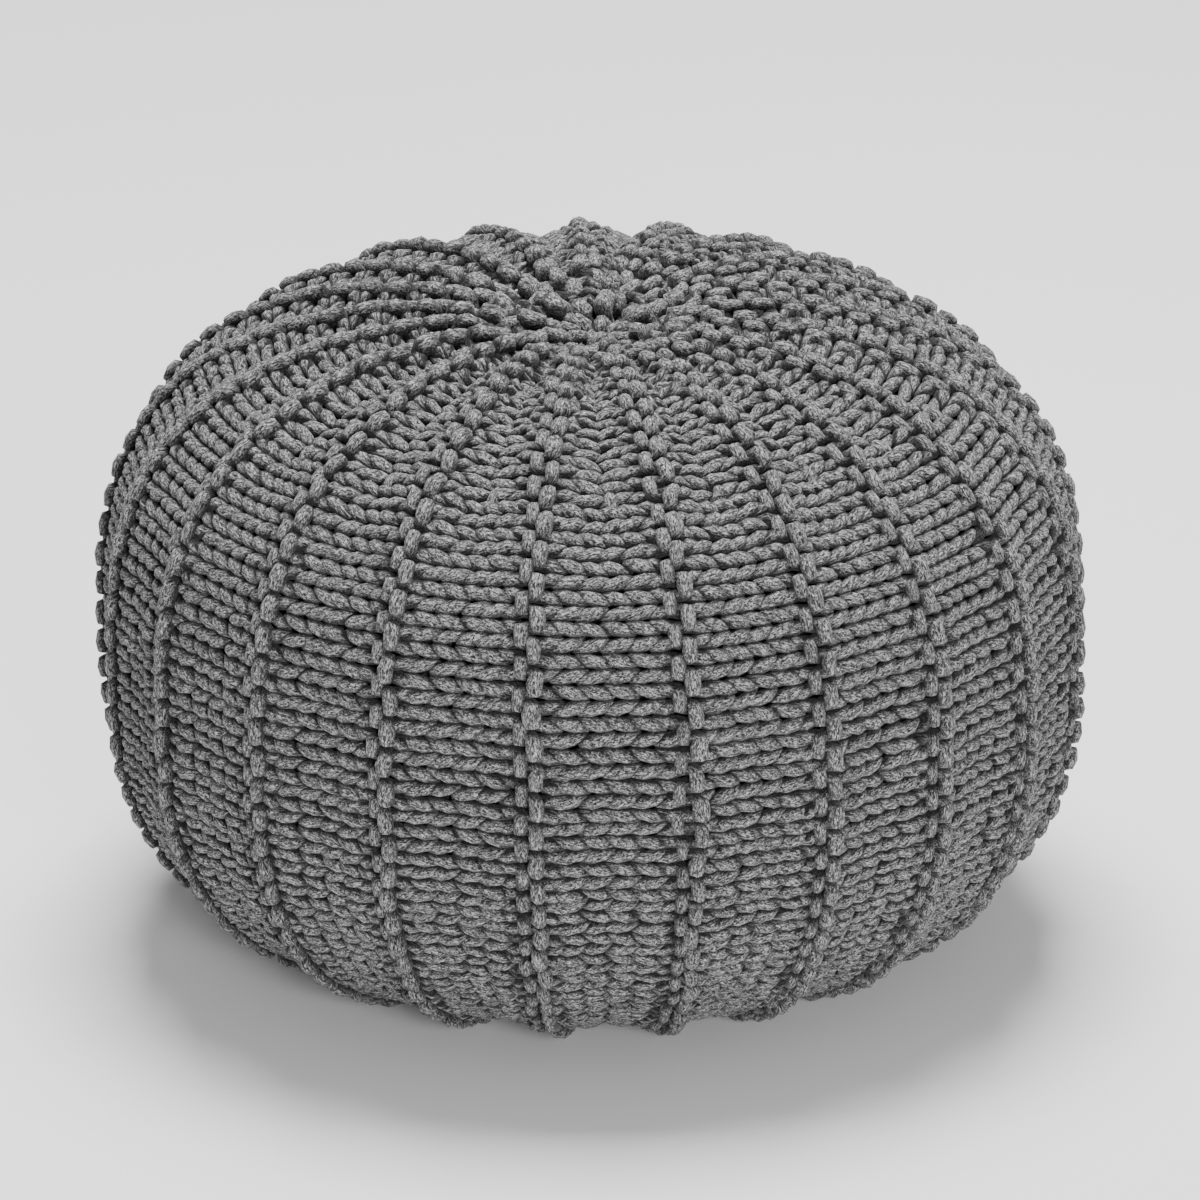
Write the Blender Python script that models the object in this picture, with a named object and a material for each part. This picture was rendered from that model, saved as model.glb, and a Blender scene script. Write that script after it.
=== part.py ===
"""Knitted pouf: one filled ball of ribbed knit, gathered at the crown and sitting on a flat foot.

Metres, +Z up. The origin is the middle of the foot, on the floor.
The sizes are taken over the crests of the ribs, and the panels lie a little way in between them.
"""
import math

import bmesh
import bpy
from mathutils import Vector

# Outline, over the rib crests
WIDEST_RADIUS = 0.250  # at the belly
BELLY_HEIGHT = 0.151  # the widest circle above the floor
CROWN_RISE = 0.189  # the crown above the widest circle, before its hollow
FOOT_RADIUS = 0.105  # the flat round that touches the floor
SHOULDER_FULLNESS = 3.0  # superellipse exponent above the belly: 2 is an ellipse
HAUNCH_FULLNESS = 2.2  # the same between the belly and the foot
HOLLOW_DEPTH = 0.012  # the gathered middle of the crown is drawn in
HOLLOW_SPREAD = 0.055
CROWN_LEAN = 0.003  # the filling leans the crown towards -X

# Ribs, which run from the crown's middle to the foot
RIB_COUNT = 21
RIB_HEIGHT = 0.0075  # crest above panel
RIB_WIDTH = 0.022
RIB_SHARE = 0.84  # a rib's most share of the way to the next, where they crowd at the crown
CROWDED_HEIGHT_SHARE = 0.30  # a rib's height there, as a share of that way
FOOT_FADE = 0.030  # the ribs are pressed flat over this height above the floor
FIRST_RIB_ANGLE = math.radians(-97.4)  # from +X towards +Y
DRIFT_ANGLE = math.radians(0.8)  # the hand-made spacing opens and closes round the pouf
DRIFT_LOBES = 3

# Degrees by which single ribs stray from that spacing, by the rib's number from the front one
STRAY_RIBS = {18: -0.3, 20: -0.3, 0: -0.6, 1: 0.7, 2: 0.6, 4: -0.4}

# One rib's section. side: from the crest, in half widths; raised: share of the rib's height
RIB_SECTION = (
    {"side": -1.0, "raised": 0.0},
    {"side": -0.6, "raised": 0.8},
    {"side": 0.0, "raised": 1.0},
    {"side": 0.6, "raised": 0.8},
    {"side": 1.0, "raised": 0.0},
)

RING_COUNT = 30  # rings of points from the crown's middle to the foot's edge
OUTLINE_STEPS = 400  # fine steps from which the rings are spaced evenly
MERGE_DISTANCE = 1e-5
ON_AXIS = 1e-4  # a point nearer than this to the axis is the crown's middle

YARN_COLOUR = (0.128, 0.128, 0.130, 1.0)
YARN_ROUGHNESS = 0.92


def remove_old_objects():
    for old in list(bpy.data.objects):
        bpy.data.objects.remove(old, do_unlink=True)


def hollow(radius):
    """How far the gathered crown is drawn down at a radius."""
    return HOLLOW_DEPTH * math.exp(-((radius / HOLLOW_SPREAD) ** 2))


def fine_outline():
    """The outline from the crown's middle to the foot's edge, as (radius, height) pairs."""
    points = []
    for step in range(OUTLINE_STEPS + 1):
        turn = math.pi / 2 * step / OUTLINE_STEPS
        radius = WIDEST_RADIUS * math.sin(turn) ** (2 / SHOULDER_FULLNESS)
        rise = CROWN_RISE * max(math.cos(turn), 0.0) ** (2 / SHOULDER_FULLNESS)
        points.append((radius, BELLY_HEIGHT + rise - hollow(radius)))
    for step in range(1, OUTLINE_STEPS + 1):
        turn = math.pi / 2 * step / OUTLINE_STEPS
        reach = max(math.cos(turn), 0.0) ** (2 / HAUNCH_FULLNESS)
        drop = math.sin(turn) ** (2 / HAUNCH_FULLNESS)
        radius = FOOT_RADIUS + (WIDEST_RADIUS - FOOT_RADIUS) * reach
        points.append((radius, BELLY_HEIGHT * (1 - drop)))
    return points


def even_outline():
    """RING_COUNT points spaced evenly along the outline, ends included."""
    fine = fine_outline()
    lengths = [0.0]
    for here, after in zip(fine, fine[1:]):
        lengths.append(lengths[-1] + math.dist(here, after))
    even = []
    index = 0
    for ring in range(RING_COUNT):
        wanted = lengths[-1] * ring / (RING_COUNT - 1)
        while index < len(fine) - 2 and lengths[index + 1] < wanted:
            index += 1
        share = (wanted - lengths[index]) / (lengths[index + 1] - lengths[index])
        here, after = fine[index], fine[index + 1]
        even.append((here[0] + share * (after[0] - here[0]), here[1] + share * (after[1] - here[1])))
    return even


def spin_body(bm):
    """Turn the outline about Z. Each rib gets one column of points for each row of its section."""
    columns = RIB_COUNT * len(RIB_SECTION)
    chain = [bm.verts.new((radius, 0.0, height)) for radius, height in even_outline()]
    edges = [bm.edges.new(pair) for pair in zip(chain, chain[1:])]
    bmesh.ops.spin(
        bm,
        geom=chain + edges,
        cent=(0, 0, 0),
        axis=(0, 0, 1),
        angle=math.tau,
        steps=columns,
        use_merge=True,
    )
    bmesh.ops.remove_doubles(bm, verts=bm.verts[:], dist=MERGE_DISTANCE)
    foot_edge = [edge for edge in bm.edges if edge.is_boundary]
    bmesh.ops.holes_fill(bm, edges=foot_edge)
    bmesh.ops.recalc_face_normals(bm, faces=bm.faces[:])
    bm.normal_update()


def rib_angle(rib):
    """Where a rib's crest runs, with the uneven spacing of hand work."""
    plain = FIRST_RIB_ANGLE + math.tau * rib / RIB_COUNT
    stray = math.radians(STRAY_RIBS.get(rib, 0.0))
    return plain + DRIFT_ANGLE * math.cos(DRIFT_LOBES * (plain + math.pi / 2)) + stray


def press_to_rib(vert):
    """Move a point of the turned body to its place across its rib, and let the panels in."""
    radius = math.hypot(vert.co.x, vert.co.y)
    if radius < ON_AXIS:
        return
    columns = RIB_COUNT * len(RIB_SECTION)
    column = round(math.atan2(vert.co.y, vert.co.x) / math.tau * columns) % columns
    rib, row = divmod(column, len(RIB_SECTION))
    section = RIB_SECTION[row]
    way = math.tau * radius / RIB_COUNT
    half_width = min(RIB_WIDTH, RIB_SHARE * way) / 2
    height = min(RIB_HEIGHT, CROWDED_HEIGHT_SHARE * way)
    height *= min(1.0, vert.co.z / FOOT_FADE)
    angle = rib_angle(rib) + section["side"] * half_width / radius
    level_normal = Vector((vert.normal.x, vert.normal.y)).length
    inwards = height * (1 - section["raised"])
    radius -= inwards * level_normal
    vert.co.z -= inwards * vert.normal.z
    vert.co.x = radius * math.cos(angle)
    vert.co.y = radius * math.sin(angle)


def lean_crown(bm):
    """Shift the upper half sideways, a little more the higher it is."""
    for vert in bm.verts:
        share = max(0.0, vert.co.z - BELLY_HEIGHT) / CROWN_RISE
        vert.co.x -= CROWN_LEAN * share


def yarn_material():
    """Heathered grey yarn: soft and matt."""
    material = bpy.data.materials.new("heather_yarn")
    material.use_nodes = True
    shader = material.node_tree.nodes["Principled BSDF"]
    shader.inputs["Base Color"].default_value = YARN_COLOUR
    shader.inputs["Roughness"].default_value = YARN_ROUGHNESS
    shader.inputs["Metallic"].default_value = 0.0
    return material


def make_pouf():
    """The whole filled pouf: one closed solid with its ribs raised."""
    bm = bmesh.new()
    spin_body(bm)
    for vert in bm.verts:
        press_to_rib(vert)
    lean_crown(bm)
    bmesh.ops.triangulate(bm, faces=bm.faces[:])
    mesh = bpy.data.meshes.new("knitted_pouf")
    bm.to_mesh(mesh)
    bm.free()
    mesh.materials.append(yarn_material())
    mesh.shade_smooth()
    pouf = bpy.data.objects.new("knitted_pouf", mesh)
    bpy.context.collection.objects.link(pouf)
    return pouf


remove_old_objects()
make_pouf()
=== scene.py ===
import math

import bmesh
import bpy
import numpy as np
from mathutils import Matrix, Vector


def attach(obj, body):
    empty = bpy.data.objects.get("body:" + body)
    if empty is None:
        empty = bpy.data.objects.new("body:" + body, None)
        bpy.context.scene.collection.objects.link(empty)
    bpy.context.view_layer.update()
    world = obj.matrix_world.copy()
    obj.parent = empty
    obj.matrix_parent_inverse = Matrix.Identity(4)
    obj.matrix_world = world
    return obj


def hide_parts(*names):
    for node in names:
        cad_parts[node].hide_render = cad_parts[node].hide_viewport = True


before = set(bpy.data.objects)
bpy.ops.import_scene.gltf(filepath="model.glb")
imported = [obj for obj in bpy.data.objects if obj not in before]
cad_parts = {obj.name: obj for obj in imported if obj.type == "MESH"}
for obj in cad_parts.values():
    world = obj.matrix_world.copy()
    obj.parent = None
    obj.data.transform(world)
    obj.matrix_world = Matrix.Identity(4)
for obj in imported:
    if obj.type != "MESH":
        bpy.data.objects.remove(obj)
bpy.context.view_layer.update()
seedNumber = 7
chance = np.random.default_rng(seedNumber)
mm = 0.001  # metres
perMetre = 1000  # mm

# The camera looks at the middle of the widest circle from the photograph's height
cameraPlace = {
    "elevation": 22.5,  # degrees above level
    "distance": 5.35,  # metres
    "lens": 318.0,  # mm
    "sensor": 36.0,  # mm
    "sight": 100.0,  # how far it sees, metres
    "shiftX": 6.8 / 1200,  # pixels as a share of the picture's width
    "shiftY": 47.2 / 1200,
}

# The outline over the rib crests is the solid's own, in metres
form = {
    "widestRadius": 0.250,
    "bellyHeight": 0.151,
    "crownRise": 0.189,
    "footRadius": 0.105,
    "shoulderFullness": 3.0,
    "haunchFullness": 2.2,
    "hollowDepth": 0.012,
    "hollowSpread": 0.055,
    "crownLean": 0.003,
    "ribCount": 21,
    "firstRibAngle": -97.4,  # degrees from +X towards +Y
    "driftAngle": 0.8,
    "driftLobes": 3,
}

# The knit, in mm along the surface from the crown's middle
knit = {
    "yarnRadius": 3.45,
    "loopReach": 0.84,  # half a stitch's height as a share of the course spacing
    "loopBulge": 0.255,  # how far a loop swings out sideways, as a share of the stitch's width
    "slant": 0.12,  # straightens the stroke, as a share of the bulge
    "crossDepth": 3.45,  # a strand's height above or below the middle of the fabric
    "aboveSolid": 1.0,  # the cords stand this far out of the solid's crests
    "narrowCourse": 8.6,  # courses can't crowd closer than this, so the fabric pleats instead
    "narrowCourseCrown": 9.0,
    "mostCloth": 4.0,  # the fabric of a gore is at most this many times as wide as its place
    "pointsPerStitch": 14,
    "bendShare": 0.1,  # the points stand closer together at a stitch's ends, where it bends most
    "firstStitch": 15.3,  # where the first stitch column begins
    "startColumns": (0, 2, 1),  # every third gore reaches the knot, and the next two end short of it
    "startRoom": (2.6, 1.5, 1.0),  # how much wider a gore is there, at its first column's number
    "turnSpread": 9.0,  # over which the others spread out where a short row begins
    "heldSwell": 0.58,  # the soft cord thins where it is held, and swells where it lies free
    "legSwell": 1.19,
    "barSwell": {"rib": 1.04, "purl": 1.22, "knit": 0.68},  # its thickness over a rib
    "barSteep": 6,  # how suddenly it changes to that
    "fullWidth": 16.2,  # the cord is thinner in stitches narrower than this
    "barFrom": 0.75,  # a loop is a bar from this share of the way onto a rib
    "ridgeBulge": 0.9,  # how far the loops over a rib swing out, as a share of the others
    "ridgeFlat": 0.16,  # how straight they lie along it
    "ribGap": 1.7,  # bared at each end of the other loops over a rib
    "rowGap": 0.15,  # cords press flat against the next row's, this far from the line between them
    "pressed": 0.85,  # the share that is pressed back of what stands past that line
    "floorRoom": 1.05,  # a cord's middle stays this many of its radii above the floor
}

# Stitch columns from the crown down, as pairs of a pitch in mm and how many columns have it. They
# are closer together below the belly, and the foot's are as even as they can be
columnRuns = (
    (16.2, 11), (16.35, 8), (16.0, 1), (15.5, 1), (15.1, 1), (14.8, 1), (14.5, 1), (14.4, 1), (14.3, 1),
)
footPitch = 14.15

# The stitch columns where the short rows turn back, near the crown and near the foot
turnColumns = {"inner": (4, 41), "outer": (11, 32)}

# How unevenly it is knitted by hand
hand = {
    "crown": 1.1,  # how much of what follows shows near the crown
    "side": 0.5,  # and on the sides
    "bulge": 0.10,
    "reach": 0.08,
    "nudge": 0.8,  # mm that a loop strays along its row
    "share": 0.008,  # of the gore that it strays across it
    "lift": 0.8,  # mm
    "held": 0.03,  # this and the rest show the same all over
    "thickness": 0.07,
    "bar": 0.011,  # how far a loop over a rib strays sideways, as a share of the gore
    "row": 0.55,  # how unevenly the rows are spaced, mm
    "tilt": 1.6,  # how far a panel's rows slope, mm
    "tiltFrom": 30.0,  # mm from the crown's middle where they begin to
    "tiltOver": 60.0,
}

# Painted shade in the yarn's colour: how much light reaches the fibres, by their height in mm above the
# middle of the fabric
shading = {
    "none": 2.6,  # fibres lower than this are in full shade
    "full": 4.8,
    "foldShade": 0.22,  # how much of a fold's depth beyond the panels' counts as such height
    "panelDepth": 3.0,
    "ribShadow": 3.2,  # the panel beside a rib's overhanging side counts as this much lower
    "shadowPlace": 0.115,  # from the rib's crest, as a share of the gore
    "shadowWidth": 0.024,
    "notchPlace": 0.58,  # the notch between two bars, as a share of the way onto the rib
    "notchWidth": 0.13,
    "stroke": 0.55,  # how much light the sides of a panel's cords get
    "bar": 0.3,  # and those of a rib's
    "facing": 0.6,  # how much more the top of a cord gets than its sides
    "creaseWidth": 1.3,  # the shade beside the line between two rows
    "tipWidth": 1.3,  # the shade beside the slanting line between two strokes of a row
    "tipSlope": 0.7,
    "tipFrom": 0.3,
    "tipRoom": 5.0,  # a cord with more room than this has no such line beside it
    "range": (-1.0, 1.5),
}

# From the crown down, in mm along the surface: how many crossings high the loops over a rib stand,
# of the purl course and of the one before it, how far the panels hang back between two ribs, how
# thick the cord is beside its full size, and the rest as noted
shoulder = {
    "length": (12.0, 40.0, 80.0, 190.0, 270.0, 400.0),
    "purl": (1.9, 1.9, 1.8, 1.9, 2.1, 2.1),
    "rib": (1.4, 1.3, 1.2, 1.25, 1.4, 1.4),
    "sag": (3.0, 4.5, 7.0, 6.0, 3.5, 3.5),
    "thick": (1.1, 1.18, 1.12, 1.0, 1.0, 1.1),
    "gap": (1.6, 1.9, 2.2, 1.4, 0.8, 0.8),  # bared at each end of a purl loop
    "notch": (2.0, 3.0, 3.4, 2.4, 1.7, 1.7),  # painted shade: the cord between two loops counts as this much lower for it
    "crowd": (0.0, 0.1, 0.3, 0.5, 0.5, 0.5),  # how far the folds lean over, at most
}
crownToSide = (60.0, 200.0)  # the crown's ways of knitting give over to the sides' in between
sideSplay = (0.0, 0.5)  # how far the loops stand square to a fold's slope, rather than to the pouf
panelForm = {"length": (60.0, 190.0, 260.0), "power": (1.6, 1.5, 1.0)}  # from narrow folds to even ones


def onShoulder(name, length):
    return np.interp(length, shoulder["length"], shoulder[name])


def crestCover(length):
    return onShoulder("purl", length) * knit["crossDepth"] + knit["yarnRadius"] - knit["aboveSolid"]


# The gathered middle of the crown: drawn further in than the solid, and a little to one side, mm
knot = {
    "spread": 26.0,
    "side": 5.0,
    "depth": 8.0,
    "pull": 0.5,  # share of the way to the middle that the innermost stitches are pulled in
    "core": 1.5,  # the fabric comes no closer to the axis
}


def say(text):
    print("stage:", text)


def makeCamera():
    data = bpy.data.cameras.new("camera")
    data.sensor_width = cameraPlace["sensor"]
    data.lens = cameraPlace["lens"]
    data.shift_x = cameraPlace["shiftX"]
    data.shift_y = cameraPlace["shiftY"]
    data.clip_end = cameraPlace["sight"]
    camera = bpy.data.objects.new("camera", data)
    bpy.context.scene.collection.objects.link(camera)
    up = math.radians(cameraPlace["elevation"])
    back = Vector((0.0, -math.cos(up), math.sin(up)))
    target = Vector((0.0, 0.0, form["bellyHeight"]))
    camera.location = target + back * cameraPlace["distance"]
    camera.rotation_euler = (-back).to_track_quat("-Z", "Y").to_euler()
    bpy.context.scene.camera = camera


makeCamera()
say("camera placed")

outlineSteps = {"half": 3001, "under": 200, "even": 1500}


# The outline as a table of length, radius and height in mm, with the outward normal
def makeOutline():
    turn = np.linspace(0.0, math.pi / 2, outlineSteps["half"])
    full = 2 / form["shoulderFullness"]
    radius = form["widestRadius"] * np.sin(turn) ** full
    height = form["bellyHeight"] + form["crownRise"] * np.clip(np.cos(turn), 0, 1) ** full
    height -= form["hollowDepth"] * np.exp(-((radius / form["hollowSpread"]) ** 2))
    full = 2 / form["haunchFullness"]
    reach = np.clip(np.cos(turn[1:]), 0, 1) ** full
    lowRadius = form["footRadius"] + (form["widestRadius"] - form["footRadius"]) * reach
    lowHeight = form["bellyHeight"] * (1 - np.sin(turn[1:]) ** full)
    under = np.linspace(form["footRadius"], 0.0, outlineSteps["under"])[1:]
    radius = np.concatenate((radius, lowRadius, under)) * perMetre
    height = np.concatenate((height, lowHeight, under * 0)) * perMetre
    length = np.concatenate(((0.0,), np.cumsum(np.hypot(np.diff(radius), np.diff(height)))))
    even = np.linspace(0.0, length[-1], outlineSteps["even"])
    radius = np.interp(even, length, radius)
    height = np.interp(even, length, height)
    outR = -np.gradient(height, even)
    outZ = np.gradient(radius, even)
    size = np.hypot(outR, outZ)
    return {"length": even, "radius": radius, "height": height, "outR": outR / size, "outZ": outZ / size}


outline = makeOutline()
wholeLength = outline["length"][-1]


def onOutline(name, length):
    return np.interp(length, outline["length"], outline[name])


# Where the stitch columns meet, from the crown to a first stitch's room from the foot's middle
def makeColumns():
    edges = [knit["firstStitch"]]
    for pitch, count in columnRuns:
        start = edges[-1]
        edges += [start + pitch * number for number in range(1, count + 1)]
    start = edges[-1]
    count = round((wholeLength - knit["firstStitch"] - start) / footPitch)
    pitch = (wholeLength - knit["firstStitch"] - start) / count
    return edges + [start + pitch * number for number in range(1, count + 1)]


columnEdges = makeColumns()
columnCount = len(columnEdges) - 1
turnLengths = {name: (columnEdges[top], columnEdges[foot]) for name, (top, foot) in turnColumns.items()}


# From 0 to 1 in a smooth step whose middle is given
def rise(length, middle, spread):
    share = np.clip((length - middle) / spread + 0.5, 0.0, 1.0)
    return share * share * (3 - 2 * share)


def between(length, which):
    top, foot = turnLengths[which]
    return rise(length, top, knit["turnSpread"]) * (1 - rise(length, foot, knit["turnSpread"]))


def courseCount(length):
    return 2 + 2 * between(length, "inner") + 2 * between(length, "outer")


pleatSmoothing = 61  # steps of the outline, an odd number


# Towards the crown the gore is narrower than its knit, which folds down between the ribs
def makePleats():
    length = outline["length"]
    count = courseCount(length)
    inside = np.maximum(outline["radius"] - crestCover(length) * outline["outR"], 1.0)
    way = math.tau * inside / form["ribCount"]
    crown = np.clip(4 - count, 0, 2) / 2
    narrow = knit["narrowCourse"] + (knit["narrowCourseCrown"] - knit["narrowCourse"]) * crown
    cloth = np.minimum(np.maximum(way, narrow * count), knit["mostCloth"] * way)
    rough = {
        "crowd": np.minimum(cloth / way - 1, onShoulder("crowd", length)),
        "fold": np.hypot(np.sqrt(cloth ** 2 - way ** 2) / math.pi, onShoulder("sag", length)),
    }
    window = np.hanning(pleatSmoothing)
    window /= window.sum()
    smooth = {}
    for name, values in rough.items():
        longer = np.pad(values, pleatSmoothing // 2, mode="edge")
        smooth[name] = np.convolve(longer, window, mode="valid")
    return smooth


pleats = makePleats()


def onPleats(name, length):
    return np.interp(length, outline["length"], pleats[name])


# Degrees by which single ribs stray from their even drift
strayRibs = {18: -0.3, 20: -0.3, 0: -0.6, 1: 0.7, 2: 0.6, 4: -0.4}
strayTable = [strayRibs.get(rib, 0.0) for rib in range(form["ribCount"])]


def ribAngle(rib):
    plain = math.radians(form["firstRibAngle"]) + math.tau * rib / form["ribCount"]
    lobes = form["driftLobes"] * (plain + math.pi / 2)
    stray = np.interp(rib, np.arange(form["ribCount"]), strayTable, period=form["ribCount"])
    return plain + math.radians(form["driftAngle"]) * np.cos(lobes) + np.radians(stray)


# How far the fabric's middle lies below a rib's, mm. rib is a whole number on a crest
def sunk(length, rib):
    valley = (1 - np.cos(math.tau * rib)) / 2
    return onPleats("fold", length) * valley ** np.interp(length, panelForm["length"], panelForm["power"])


# A point of the fabric's middle, mm
def fabric(length, rib):
    turn = math.tau * rib
    depth = crestCover(length) + sunk(length, rib)
    rib = rib + onPleats("crowd", length) / math.tau * np.sin(turn)
    radius = np.maximum(onOutline("radius", length) - depth * onOutline("outR", length), knot["core"])
    level = onOutline("height", length) - depth * onOutline("outZ", length)
    angle = ribAngle(rib)
    return np.stack((radius * np.cos(angle), radius * np.sin(angle), level), axis=-1)


probe = {"along": 0.5, "across": 0.01}  # mm, and a share of the gore


def alongFabric(length, rib):
    return fabric(length + probe["along"], rib) - fabric(length - probe["along"], rib)


# The same point moved along the fabric's own normal by lift, and that normal
def aboveFabric(length, rib, lift):
    across = fabric(length, rib + probe["across"]) - fabric(length, rib - probe["across"])
    normal = np.cross(alongFabric(length, rib), across)
    normal /= np.maximum(np.linalg.norm(normal, axis=-1, keepdims=True), 1e-9)
    outR, outZ, angle = onOutline("outR", length), onOutline("outZ", length), ribAngle(rib)
    upright = np.stack((outR * np.cos(angle), outR * np.sin(angle), outZ), axis=-1)
    splay = np.interp(length, crownToSide, sideSplay)[..., None]
    normal = normal * splay + upright * (1 - splay)
    normal /= np.linalg.norm(normal, axis=-1, keepdims=True)
    return fabric(length, rib) + normal * lift[..., None], normal


# Each course's place across a gore, from its right rib: near the crown, between, at the belly
courses = {
    "purl": {"share": (0.29, 0.13, 0.093), "lift": "purl", "span": "whole"},
    "first": {"share": (0.375, 0.375, 0.25), "lift": "knit", "span": "inner"},
    "second": {"share": (0.417, 0.417, 0.417), "lift": "knit", "span": "outer"},
    "third": {"share": (0.583, 0.583, 0.583), "lift": "knit", "span": "outer"},
    "fourth": {"share": (0.625, 0.625, 0.75), "lift": "knit", "span": "inner"},
    "last": {"share": (0.71, 0.87, 0.907), "lift": "rib", "span": "whole"},
}
pairs = (("purl", "last"), ("first", "fourth"), ("second", "third"))


def courseShare(course, length):
    near, mid, belly = course["share"]
    return near + (mid - near) * between(length, "inner") + (belly - mid) * between(length, "outer")


def courseSpan(course, gore):
    if course["span"] == "whole":
        return knit["startColumns"][gore % 3], columnCount
    return turnColumns[course["span"]]


# The gores that reach further in spread over the places of those that ended
def widened(share, length, gore):
    start = knit["startColumns"][gore % 3]
    room = np.interp(length, columnEdges[1:4], knit["startRoom"])
    return 0.5 + (share - 0.5) * np.minimum(room, knit["startRoom"][start])


# A strand's height through half a stitch, from its lower end over a leg to its upper end, in
# crossings. A knit loop dips behind at both ends. On a rib the upper ends of one course and the
# lower ends of the next both stand in front, and each dips under the other at its sides
halfTurns = (0.0, 0.09, 0.157, 0.25, 0.40, 0.60, 0.75, 0.843, 0.91, 1.0)
liftKinds = {
    "knit": (-1.0, -0.85, -0.2, 0.6, 1.0, 1.0, 0.6, -0.2, -0.85, -1.0),
    "rib": (-1.0, -0.85, -0.2, 0.6, 1.0, 0.2, 0.9, 1.8, 2.0, 2.0),
    "purl": (2.4, 2.4, 2.2, 1.3, 0.2, 0.9, 0.5, -0.2, -0.85, -1.0),
}


def liftShape(kind, turns, length):
    half = np.abs((turns / math.pi + 1) % 2 - 1)
    lift = np.interp(half, halfTurns, liftKinds[kind])
    if kind == "knit":
        return lift
    raised = max(liftKinds[kind]) - 1
    return lift - np.maximum(lift - 1, 0.0) * (1 - (onShoulder(kind, length) - 1) / raised)


# How much of a stitch's place is over a rib, from 0 to 1
def overRib(kind, turns):
    if kind == "knit":
        return 0 * turns
    way = 1 if kind == "purl" else -1
    return (1 + way * np.cos(turns)) / 2


# What is known of a line's points: where they lie along the surface and across the gore, their
# lift, the cord's thickness, how far they lie from the middle of their row, the room that the cord
# has there before it presses on the next row, how far they lie from the middle of their stroke,
# where 1 is midway to the next stroke, the painted light on the cord's sides, and how much lower it
# counts for the painted shade
lineParts = ("length", "share", "lift", "swell", "aside", "room", "middle", "flank", "deep")
alone = {"swell": 1.0, "aside": 0.0, "room": 20.0, "middle": 0.0, "flank": 0.5, "deep": 0.0}

# Where a cord has room to spare, because it passes under the next row or lies over a rib
spare = {"under": 0.3, "underOver": 0.5, "rib": 0.6, "ribOver": 0.2, "room": 8.0}


# One course of stitches from crown to foot
def courseLine(course, gore):
    first, last = courseSpan(course, gore)
    kind = course["lift"]
    turns = np.arange(knit["pointsPerStitch"]) / knit["pointsPerStitch"] * math.tau
    turns = turns - knit["bendShare"] * np.sin(2 * turns)
    leg = np.sin(turns) ** 4
    ease = (1 + np.cos(turns / 2)) / 2
    swing = np.sin(2 * turns) + knit["slant"] * np.sin(4 * turns)
    onRib = overRib(kind, turns)
    overBar = onRib > knit["barFrom"]
    flat = knit["ridgeFlat"] * onRib
    sway = (np.cos(turns) - flat * np.cos(3 * turns)) / (1 - flat)
    strokeSide = np.where(overBar, 0, np.where(turns < math.pi, 1, -1))
    strokePlace = np.where(turns < math.pi, 0.25, 0.75)
    # where painted shade falls in the notch between two bars
    notch = np.exp(-((onRib - shading["notchPlace"]) / shading["notchWidth"]) ** 2)
    strays = hand["bar"] * chance.normal(size=last - first + 1)
    fats = hand["thickness"] * chance.normal(size=last - first + 1)
    line = {part: [] for part in lineParts}
    for column in range(first, last):
        low, high = columnEdges[column], columnEdges[column + 1]
        width = high - low
        near, far = column - first, column - first + 1
        jitter = np.interp(low, crownToSide, (hand["crown"], hand["side"]))
        bulge = knit["loopBulge"] * width * (1 + hand["bulge"] * jitter * chance.normal())
        bulge = bulge * (1 - (1 - knit["ridgeBulge"]) * onRib)
        reach = knit["loopReach"] * (1 + hand["reach"] * jitter * chance.normal())
        nudge = hand["nudge"] * jitter * chance.normal()
        length = low + width * turns / math.tau + bulge * swing + nudge * np.sin(turns / 2)
        share = courseShare(course, length) - reach * sway / courseCount(length)
        share = share + hand["share"] * jitter * chance.normal() * np.sin(turns / 2)
        share = share + strays[near] * ease + strays[far] * (1 - ease)
        shape = liftShape(kind, turns, length)
        stray = hand["lift"] * jitter * chance.normal() * np.sin(turns / 2)
        held = knit["heldSwell"] + hand["held"] * chance.normal()
        bar = (knit["barSwell"][kind] - held) * onRib ** knit["barSteep"]
        swell = held + (knit["legSwell"] - held) * leg + bar
        swell = swell * (1 + fats[near] * ease + fats[far] * (1 - ease))
        swell = swell * onShoulder("thick", length) * min(1.0, width / knit["fullWidth"])
        under = np.clip((spare["under"] - shape) / spare["underOver"], 0.0, 1.0)
        onTop = np.clip((onRib - spare["rib"]) / spare["ribOver"], 0.0, 1.0)
        free = under + onTop
        barPlace = width / 2 if kind == "rib" else 0.0
        alongBar = (length - low - barPlace + width / 2) % width - width / 2
        alongRow = length - low - width * strokePlace
        gap = onShoulder("gap", low) if kind == "purl" else knit["ribGap"]
        line["length"].append(length)
        line["share"].append(widened(share, length, gore))
        line["lift"].append(knit["crossDepth"] * shape + stray)
        line["swell"].append(swell)
        line["aside"].append(np.where(overBar, alongBar, alongRow))
        line["room"].append(np.where(overBar, width / 2 - gap, width / 4 + spare["room"] * free))
        line["middle"].append(2 * reach * sway * strokeSide)
        line["flank"].append(np.where(overBar, shading["bar"], shading["stroke"]))
        line["deep"].append(onShoulder("notch", low) * notch)
    return {part: np.concatenate(values) for part, values in line.items()}


# Hand-made rows: each gore's are spaced a little unevenly, and slope a little
rowStrays = hand["row"] * chance.normal(size=(form["ribCount"], columnCount + 1))
rowTilts = hand["tilt"] * chance.normal(size=form["ribCount"])


def strayed(gore, line):
    shift = np.interp(line["length"], columnEdges, rowStrays[gore])
    fade = rise(line["length"], hand["tiltFrom"] + hand["tiltOver"] / 2, hand["tiltOver"])
    return line["length"] + shift + rowTilts[gore] * (line["share"] - 0.5) * fade


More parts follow.
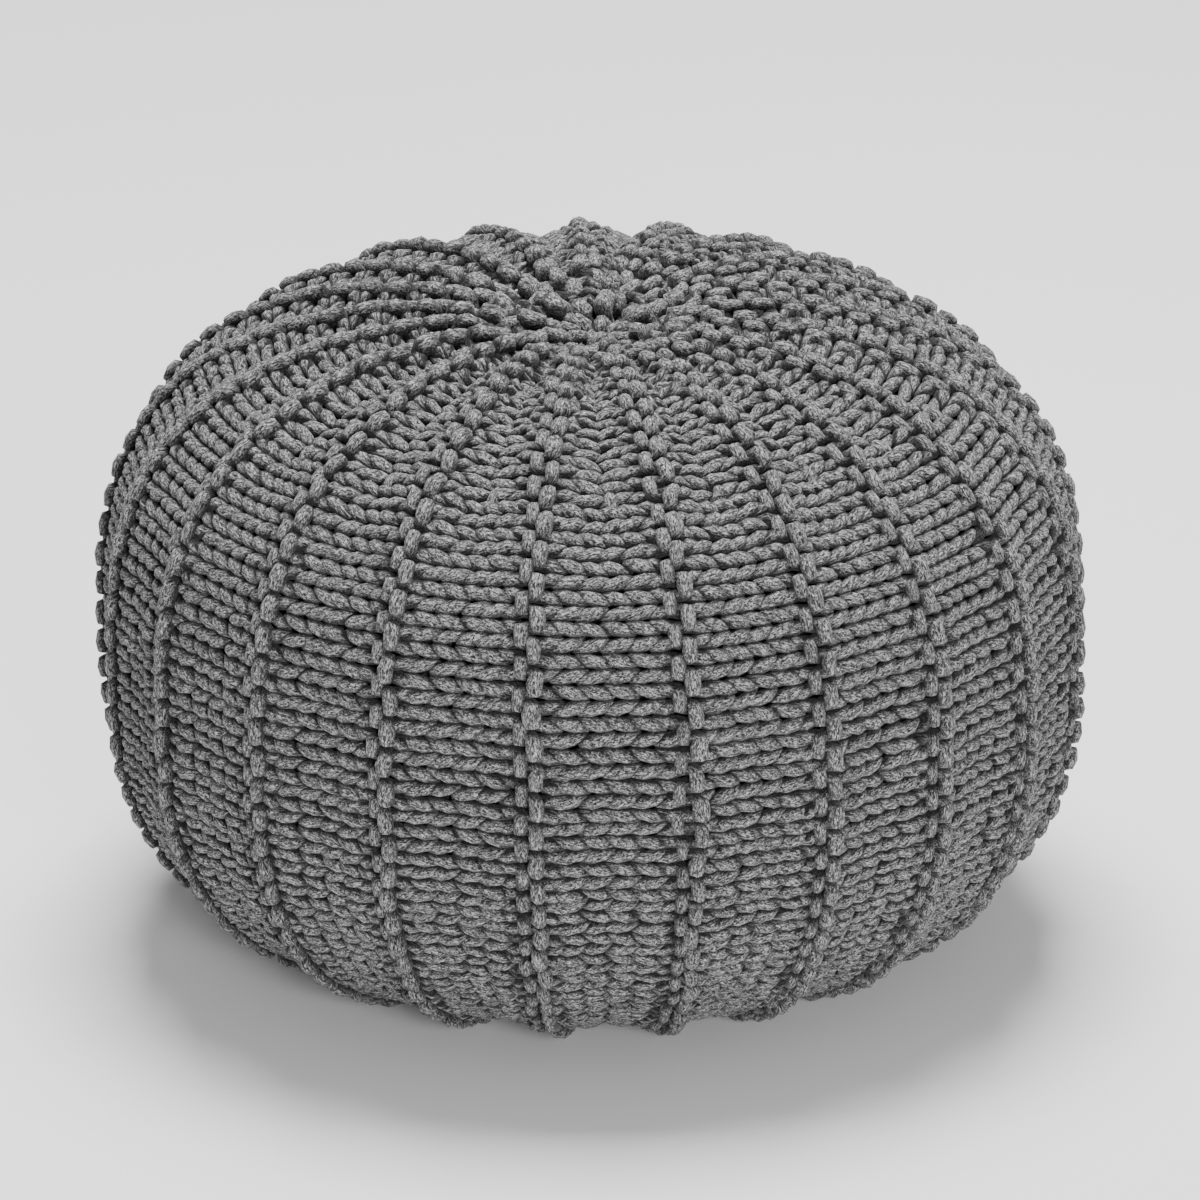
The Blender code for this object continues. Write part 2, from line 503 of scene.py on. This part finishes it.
# The crown's lean, its gathered middle, and the foot pressed flat
def settle(points):
    points = points.copy()
    rest = points[:, 2] - form["bellyHeight"] * perMetre
    share = np.clip(rest / (form["crownRise"] * perMetre), 0.0, 1.0)
    points[:, 0] -= form["crownLean"] * perMetre * share
    gather = np.exp(-(np.hypot(points[:, 0], points[:, 1]) / knot["spread"]) ** 2)
    gather = gather * np.where(share > 0.5, 1, 0)
    points[:, :2] *= 1 - knot["pull"] * gather[:, None]
    points[:, 0] += knot["side"] * gather
    points[:, 2] -= knot["depth"] * gather
    points[:, 2] = np.maximum(points[:, 2], knit["yarnRadius"] * knit["floorRoom"])
    return points * mm


# A strand set on the fabric, with what makeCords needs to sweep its cord and paint its shade
def setStrand(gore, line):
    place = (strayed(gore, line), gore - line["share"])
    points, normals = aboveFabric(*place, line["lift"])
    along = alongFabric(*place)
    along /= np.linalg.norm(along, axis=-1, keepdims=True)
    # Painted shade: folds, the shadow beside a rib's overhanging side and the notches between bars count
    # as lower, so the yarn's colour is darker there
    deep = shading["foldShade"] * np.maximum(sunk(*place) - shading["panelDepth"], 0.0)
    beside = (line["share"] - shading["shadowPlace"]) / shading["shadowWidth"]
    deep = deep + shading["ribShadow"] * np.exp(-beside ** 2) + line["deep"]
    girth = math.tau * onOutline("radius", line["length"])
    strand = {part: line[part] for part in ("swell", "aside", "room", "middle", "flank")}
    strand["points"] = settle(points)
    strand["normals"] = normals
    strand["along"] = along
    strand["height"] = line["lift"] - deep
    strand["pitch"] = girth / form["ribCount"] / courseCount(line["length"])
    return strand


# Where the knitter turns back at the end of a row, the cord goes this far on and behind, mm
turnBack = {"past": 3.0, "lift": -5.0, "shortLift": -10.0}


# Two courses joined at both ends, as the knitter turns back at the end of a row
def strandLine(gore, names):
    down = courseLine(courses[names[0]], gore)
    back = {part: values[::-1] for part, values in courseLine(courses[names[1]], gore).items()}
    top, foot = courseSpan(courses[names[0]], gore)
    endsShort = top in (1, 2)  # near the knot, under the gores that reach it
    low = dict(alone)
    low["length"] = columnEdges[foot] + turnBack["past"]
    low["share"] = 0.5 * (down["share"][-1] + back["share"][0])
    low["lift"] = turnBack["lift"]
    high = dict(alone)
    high["length"] = columnEdges[top] - turnBack["past"]
    high["share"] = 0.5 * (down["share"][0] + back["share"][-1])
    high["lift"] = turnBack["shortLift"] if endsShort else turnBack["lift"]
    line = {}
    for part in lineParts:
        line[part] = np.concatenate((down[part], (low[part],), back[part], (high[part],)))
    return setStrand(gore, line)


# A strand with no row beside it, from its points' lengths, shares of the gore and lifts
def looseLine(gore, lengths, shares, lifts, swell):
    line = {part: np.full(len(lengths), value) for part, value in alone.items()}
    line.update({"length": np.array(lengths), "share": np.array(shares), "lift": np.array(lifts)})
    line["swell"] = line["swell"] * swell
    return setStrand(gore, line)


# The wrap left standing where a short row turns back: a small upright bar over the stitch column
wrap = {
    "points": 14,
    "past": 3.5,  # mm from where the row turns
    "share": 0.41,  # of the gore
    "lean": 0.012,  # of the gore, at random
    "run": 5.5,  # half its length, mm
    "runStray": 0.08,
    "lift": -1.0,  # mm, and how far it swings about that
    "liftSwing": 5.4,
}


def wrapLine(gore, length):
    turns = np.arange(wrap["points"]) / wrap["points"] * math.tau
    lean = wrap["lean"] * chance.normal()
    run = wrap["run"] * (1 + wrap["runStray"] * chance.normal())
    lengths = length + run * np.cos(turns)
    shares = wrap["share"] + lean * np.cos(turns)
    return looseLine(gore, lengths, shares, wrap["lift"] + wrap["liftSwing"] * np.sin(turns), 1.0)


# The cord that draws the crown together: a tight ring under the first stitches and a turn across it
gather = {
    "points": 18,
    "ring": 9.5,  # mm from the crown's middle
    "ringWave": 1.5,
    "ringLift": 4.0,
    "turnGores": (19.0, 8.0),  # the turn runs from the one over to the other
    "turnLengths": (11.0, 7.0, 2.5, 2.5, 7.0, 11.0, 7.0, 2.5, 2.5, 7.0),
    "turnEnds": (0, 0, 0, 1, 1, 1, 1, 1, 0, 0),
    "turnLifts": (-2.0, 3.0, 5.0, 5.0, 3.0, -2.0, -6.0, -7.0, -7.0, -6.0),
    "turnSwell": 1.2,
}


# The ring goes three times in and out, and twice up and down
def gatherLines():
    turns = np.arange(gather["points"]) / gather["points"]
    lengths = gather["ring"] + gather["ringWave"] * np.sin(3 * math.tau * turns)
    lifts = gather["ringLift"] + gather["ringWave"] * np.cos(2 * math.tau * turns)
    ring = looseLine(0, lengths, form["ribCount"] * turns, lifts, 1.0)
    shares = [gather["turnGores"][end] for end in gather["turnEnds"]]
    across = looseLine(0, gather["turnLengths"], shares, gather["turnLifts"], gather["turnSwell"])
    return [ring, across]


bevelSteps = 2
sides = 4 + 2 * bevelSteps  # of a cord
cordsApart = 311.7  # mm of pattern from one strand to the next, so that no two have the same flecks


def sweepCords(name, strands):
    curve = bpy.data.curves.new(name, "CURVE")
    curve.dimensions = "3D"
    curve.bevel_depth = knit["yarnRadius"] * mm
    curve.bevel_resolution = bevelSteps
    for strand in strands:
        spline = curve.splines.new("POLY")
        count = len(strand["points"])
        spline.points.add(count - 1)
        places = np.hstack((strand["points"], np.ones((count, 1)))).astype(np.float32)
        spline.points.foreach_set("co", places.ravel())
        spline.use_cyclic_u = True
        spline.points.foreach_set("radius", strand["swell"].astype(np.float32))
    shape = bpy.data.objects.new(name + "_line", curve)
    bpy.context.scene.collection.objects.link(shape)
    graph = bpy.context.evaluated_depsgraph_get()
    mesh = bpy.data.meshes.new_from_object(shape.evaluated_get(graph))
    bpy.data.objects.remove(shape, do_unlink=True)
    mesh.name = name
    return mesh


# Painted shade for each corner of a cord, from how far it stands out of the knit's creases, which get
# little
# light: the yarn's colour is darkened by it. ring has a value for each corner, facing is how far it lies
# on the cord's outer side, and reach how far it lies from the middle of its row, both in mm
def paintedShadeOf(ring, facing, reach, over):
    raised = (facing + ring["height"] - shading["none"]) / (shading["full"] - shading["none"])
    clear = (ring["room"] - np.abs(reach - over)) / shading["creaseWidth"]
    flank = ring["flank"] + shading["facing"] * facing / knit["yarnRadius"]
    tip = ring["pitch"] / 2 - np.abs(ring["middle"]) * ring["pitch"] / 2 + reach * np.sign(ring["middle"])
    tip = (shading["tipSlope"] * tip - shading["tipFrom"]) / shading["tipWidth"]
    tip = tip + np.maximum(ring["room"] - shading["tipRoom"], 0.0)
    return np.clip(np.minimum.reduce((raised, clear, flank, tip)), *shading["range"])


# The cords of one piece: closed strands swept along their lines and pressed flat where they meet the
# next row's, with mm along and round them in the UV map, and painted shade on each corner
def makeCords(name, strands, material):
    mesh = sweepCords(name, strands)
    layer = mesh.uv_layers[0]
    layer.name = "yarnMap"
    spots = np.zeros(len(mesh.loops) * 2, np.float32)
    layer.data.foreach_get("uv", spots)
    spots = spots.reshape(-1, 2)
    corners = np.zeros(len(mesh.vertices) * 3, np.float32)
    mesh.vertices.foreach_get("co", corners)
    corners = corners.reshape(-1, 3)
    paintedShade = np.zeros(len(mesh.vertices), np.float32)
    first = 0
    for number, strand in enumerate(strands):
        count = len(strand["points"])
        own = slice(first, first + count * sides)
        ring = {part: np.repeat(values, sides, axis=0) for part, values in strand.items()}
        arms = (corners[own] - ring["points"]) * perMetre
        reach = ring["aside"] + np.sum(arms * ring["along"], axis=1)
        over = np.maximum(np.abs(reach) - ring["room"] + knit["rowGap"], 0.0) * np.sign(reach)
        corners[own] -= knit["pressed"] * over[:, None] * ring["along"] * mm
        corners[own, 2] = np.maximum(corners[own, 2], 0.0)
        # painted shade: how dark the yarn's colour is painted at each corner
        paintedShade[own] = paintedShadeOf(ring, np.sum(arms * ring["normals"], axis=1), reach, over)
        loops = slice(first * 4, own.stop * 4)  # a closed cord has as many four-sided faces as corners
        gaps = np.linalg.norm(np.roll(strand["points"], -1, axis=0) - strand["points"], axis=1) * perMetre
        lengths = np.concatenate(((0.0,), np.cumsum(gaps)))
        alongCord = np.interp(spots[loops, 0] * count, np.arange(count + 1), lengths)
        spots[loops, 0] = alongCord + cordsApart * number
        first = own.stop
    spots[:, 1] *= math.tau * knit["yarnRadius"]
    layer.data.foreach_set("uv", spots.ravel())
    mesh.vertices.foreach_set("co", corners.ravel())
    mesh.update()
    mesh.attributes.new("paintedShade", "FLOAT", "POINT").data.foreach_set("value", paintedShade)
    mesh.materials.clear()
    mesh.materials.append(material)
    piece = bpy.data.objects.new(name, mesh)
    bpy.context.scene.collection.objects.link(piece)
    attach(piece, "root")


def linear(hexCode):
    values = [int(hexCode[place:place + 2], 16) / 255 for place in (0, 2, 4)]
    return tuple(v / 12.92 if v <= 0.04045 else ((v + 0.055) / 1.055) ** 2.4 for v in values) + (1.0,)


shaderName = "Principled BSDF"


def addNode(material, kind, links=(), **settings):
    node = material.node_tree.nodes.new(kind)
    for key, value in settings.items():
        setattr(node, key, value)
    for socket, value in links:
        if isinstance(value, bpy.types.NodeSocket):
            material.node_tree.links.new(value, node.inputs[socket])
        else:
            node.inputs[socket].default_value = value
    return node


def newMaterial(name, values):
    material = bpy.data.materials.new(name)
    material.use_nodes = True
    shader = material.node_tree.nodes[shaderName]
    for socket, value in values.items():
        shader.inputs[socket].default_value = value
    return material


# Heathered wool-blend roving, spun soft: dull, flecked with dark and pale fibres along the cord, with
# painted shade darkening its colour in the knit's creases
yarnLook = {
    "dark": "1c1c1c",
    "middle": "505050",
    "pale": "b2b2b2",
    "places": {"dark": 0.35, "middle": 0.49, "pale": 0.67},  # in the noise
    "fleckLength": 1.4,  # mm. Each is a tuft of fibres, because one fibre is too fine to show
    "fleckWidth": 0.65,
    "flecks": ((0.55, 1.0), (-0.45, 1.2)),  # two layers: radians off the cord's line, and size
    "bend": 0.9,
    "bump": 0.5,
    "bumpHeight": 0.0006,  # metres
    "flankShade": 0.11,  # the painted shade deep between the cords: the darkest that the yarn's colour is painted there
    "roughness": 0.95,
    "gloss": 0.15,
    "sheen": 0.08,
    "sheenRoughness": 0.6,
}


def makeYarn():
    material = newMaterial("heathered_wool_roving", {
        "Roughness": yarnLook["roughness"],
        "Specular IOR Level": yarnLook["gloss"],
        "Sheen Weight": yarnLook["sheen"],
        "Sheen Roughness": yarnLook["sheenRoughness"],
    })
    place = addNode(material, "ShaderNodeUVMap", uv_map="yarnMap")
    layers = []
    for turn, size in yarnLook["flecks"]:
        fleckPlace = addNode(material, "ShaderNodeMapping", (
            ("Vector", place.outputs["UV"]),
            ("Rotation", (0.0, 0.0, turn)),
            ("Scale", (1 / (yarnLook["fleckLength"] * size), 1 / (yarnLook["fleckWidth"] * size), 1.0)),
        ))
        layers.append(addNode(material, "ShaderNodeTexNoise", (
            ("Vector", fleckPlace.outputs["Vector"]),
            ("Scale", 1.0),
            ("Detail", 1.0),
            ("Roughness", 0.5),
            ("Distortion", yarnLook["bend"]),
        ), noise_dimensions="2D"))
    flecks = addNode(material, "ShaderNodeMix", (
        ("Factor", 0.5),
        ("A", layers[0].outputs["Fac"]),
        ("B", layers[1].outputs["Fac"]),
    ), data_type="FLOAT")
    colours = addNode(material, "ShaderNodeValToRGB", (("Fac", flecks.outputs["Result"]),))
    ramp = colours.color_ramp
    ramp.elements[0].position = yarnLook["places"]["dark"]
    ramp.elements[0].color = linear(yarnLook["dark"])
    ramp.elements[1].position = yarnLook["places"]["pale"]
    ramp.elements[1].color = linear(yarnLook["pale"])
    middle = ramp.elements.new(yarnLook["places"]["middle"])
    middle.color = linear(yarnLook["middle"])
    # Painted shade: the flecked colour is darkened where the knit's creases get little light
    paintedShade = addNode(material, "ShaderNodeAttribute", attribute_name="paintedShade")
    shade = addNode(material, "ShaderNodeMapRange", (
        ("Value", paintedShade.outputs["Fac"]),
        ("From Min", 0.0),
        ("From Max", 1.0),
        ("To Min", yarnLook["flankShade"]),
        ("To Max", 1.0),
    ), interpolation_type="SMOOTHSTEP")
    shaded = addNode(material, "ShaderNodeVectorMath", (
        (0, colours.outputs["Color"]),
        (1, shade.outputs["Result"]),
    ), operation="MULTIPLY")
    bump = addNode(material, "ShaderNodeBump", (
        ("Height", flecks.outputs["Result"]),
        ("Strength", yarnLook["bump"]),
        ("Distance", yarnLook["bumpHeight"]),
    ))
    shader = material.node_tree.nodes[shaderName]
    material.node_tree.links.new(shaded.outputs["Vector"], shader.inputs["Base Color"])
    material.node_tree.links.new(bump.outputs["Normal"], shader.inputs["Normal"])
    return material


# The body under the cords: turned from the outline and set below the panels
ground = {
    "below": 5.0,  # mm
    "rings": 60,
    "steps": 84,
    "merge": 1e-5,  # metres
    "fill": 0.9,
    "dark": "141414",
    "pale": "282828",
    "grain": 600.0,  # grains to the metre, 1.7 mm each
    "roughness": 0.95,
    "gloss": 0.1,
}


# The back of the knit seen down between the cords: the same yarn with its deep shade painted into its
# colour, so dark and barely flecked
def makeGroundMaterial():
    material = newMaterial("knit_back_in_shade", {
        "Roughness": ground["roughness"],
        "Specular IOR Level": ground["gloss"],
    })
    place = addNode(material, "ShaderNodeTexCoord")
    noise = addNode(material, "ShaderNodeTexNoise", (
        ("Vector", place.outputs["Object"]),
        ("Scale", ground["grain"]),
        ("Detail", 2.0),
    ))
    colours = addNode(material, "ShaderNodeValToRGB", (("Fac", noise.outputs["Fac"]),))
    colours.color_ramp.elements[0].color = linear(ground["dark"])
    colours.color_ramp.elements[1].color = linear(ground["pale"])
    shader = material.node_tree.nodes[shaderName]
    material.node_tree.links.new(colours.outputs["Color"], shader.inputs["Base Color"])
    return material


def makeGround(material):
    bm = bmesh.new()
    chain = []
    for length in np.linspace(0.0, wholeLength, ground["rings"]):
        depth = float(crestCover(length) + onPleats("fold", length)) + ground["below"]
        radius = float(onOutline("radius", length) - depth * onOutline("outR", length))
        height = float(onOutline("height", length) - depth * onOutline("outZ", length))
        if length in (0.0, wholeLength):
            radius = 0.0
        chain.append(bm.verts.new((max(radius, 0.0) * mm, 0.0, height * mm)))
    edges = [bm.edges.new(pair) for pair in zip(chain, chain[1:])]
    bmesh.ops.spin(
        bm,
        geom=chain + edges,
        cent=(0, 0, 0),
        axis=(0, 0, 1),
        angle=math.tau,
        steps=ground["steps"],
        use_merge=True,
    )
    bmesh.ops.remove_doubles(bm, verts=bm.verts[:], dist=ground["merge"])
    bmesh.ops.recalc_face_normals(bm, faces=bm.faces[:])
    mesh = bpy.data.meshes.new("knit_ground")
    bm.to_mesh(mesh)
    bm.free()
    mesh.shade_smooth()
    mesh.materials.append(material)
    piece = bpy.data.objects.new("knit_ground", mesh)
    bpy.context.scene.collection.objects.link(piece)
    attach(piece, "root")
    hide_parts("knitted_pouf")


yarn = makeYarn()
makeGround(makeGroundMaterial())
say("ground made")

goresPerPiece = 3
rowTurns = (turnLengths["outer"][0] - wrap["past"], turnLengths["outer"][1] + wrap["past"])
for start in range(0, form["ribCount"], goresPerPiece):
    strands = gatherLines() if start == 0 else []
    for gore in range(start, start + goresPerPiece):
        strands += [strandLine(gore, names) for names in pairs]
        strands += [wrapLine(gore, length) for length in rowTurns]
    makeCords("knit_gores_%d" % (start // goresPerPiece + 1), strands, yarn)
say("gores knitted")

# A painted studio floor, matt and nearly white
floorLook = {"half": 8.0, "colour": "f4f4f4", "roughness": 0.9, "gloss": 0.1}


def makeFloor():
    bm = bmesh.new()
    bmesh.ops.create_grid(bm, x_segments=1, y_segments=1, size=floorLook["half"])
    mesh = bpy.data.meshes.new("floor")
    bm.to_mesh(mesh)
    bm.free()
    material = newMaterial("white_painted_floor", {
        "Base Color": linear(floorLook["colour"]),
        "Roughness": floorLook["roughness"],
        "Specular IOR Level": floorLook["gloss"],
    })
    mesh.materials.append(material)
    floor = bpy.data.objects.new("floor", mesh)
    bpy.context.scene.collection.objects.link(floor)


# Soft studio lights, in metres and watts, all turned to the middle of the pouf
lamps = {
    "over": {"place": (0.0, 0.5, 2.8), "size": 1.3, "power": 164.0},
    "front": {"place": (0.6, -2.9, 1.0), "size": 0.8, "power": 76.0},
    "right": {"place": (2.8, -0.8, 1.0), "size": 1.5, "power": 3.0},
}
lampAim = (0.0, 0.0, 0.15)
roomLight = 0.33


def makeLights():
    for name, row in lamps.items():
        data = bpy.data.lights.new(name, "AREA")
        data.shape = "SQUARE"
        data.size = row["size"]
        data.energy = row["power"]
        lamp = bpy.data.objects.new(name, data)
        bpy.context.scene.collection.objects.link(lamp)
        lamp.location = row["place"]
        aim = Vector(lampAim) - Vector(row["place"])
        lamp.rotation_euler = aim.to_track_quat("-Z", "Y").to_euler()
    world = bpy.data.worlds.new("studio")
    world.use_nodes = True
    world.node_tree.nodes["Background"].inputs["Color"].default_value = (1.0, 1.0, 1.0, 1.0)
    world.node_tree.nodes["Background"].inputs["Strength"].default_value = roomLight
    bpy.context.scene.world = world


makeFloor()
makeLights()
say("floor and lights placed")
